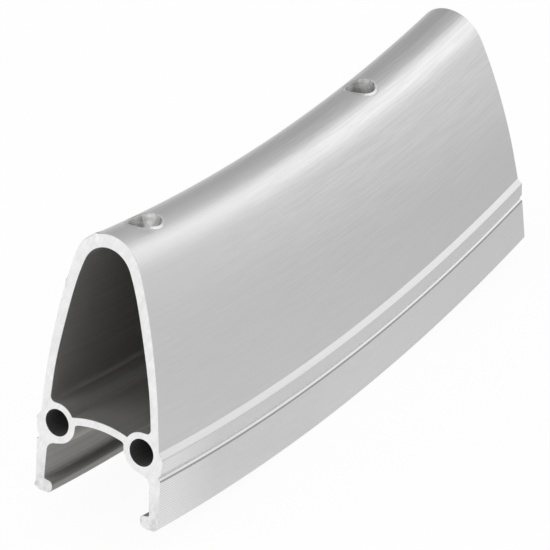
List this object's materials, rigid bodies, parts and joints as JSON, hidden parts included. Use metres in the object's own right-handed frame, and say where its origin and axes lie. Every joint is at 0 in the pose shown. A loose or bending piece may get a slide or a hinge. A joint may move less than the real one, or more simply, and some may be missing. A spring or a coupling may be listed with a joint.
{
  "type": "bicycle rim section",
  "caption": "Sawn section of a deep, tapered double-wall bicycle rim: hooked tyre well, brake tracks, round joint-pin channels and drilled spoke holes.",
  "frame": {"origin": "on the floor, in the middle of the section and of its width: the section stands on its two tyre flanges at z = 0", "axes": "+X along the section, +Y across it, parallel to the wheel's axle, +Z from the tyre side to the spoke side, towards the axle 319.1 mm up"},
  "size_m": [0.1014, 0.022, 0.045],
  "materials": {
    "aluminium": "bare extruded aluminium, brushed along the arc, with turned brake tracks and sawn ends"
  },
  "bodies": {
    "root": {"rim_section": "aluminium"}
  },
  "joints": []
}
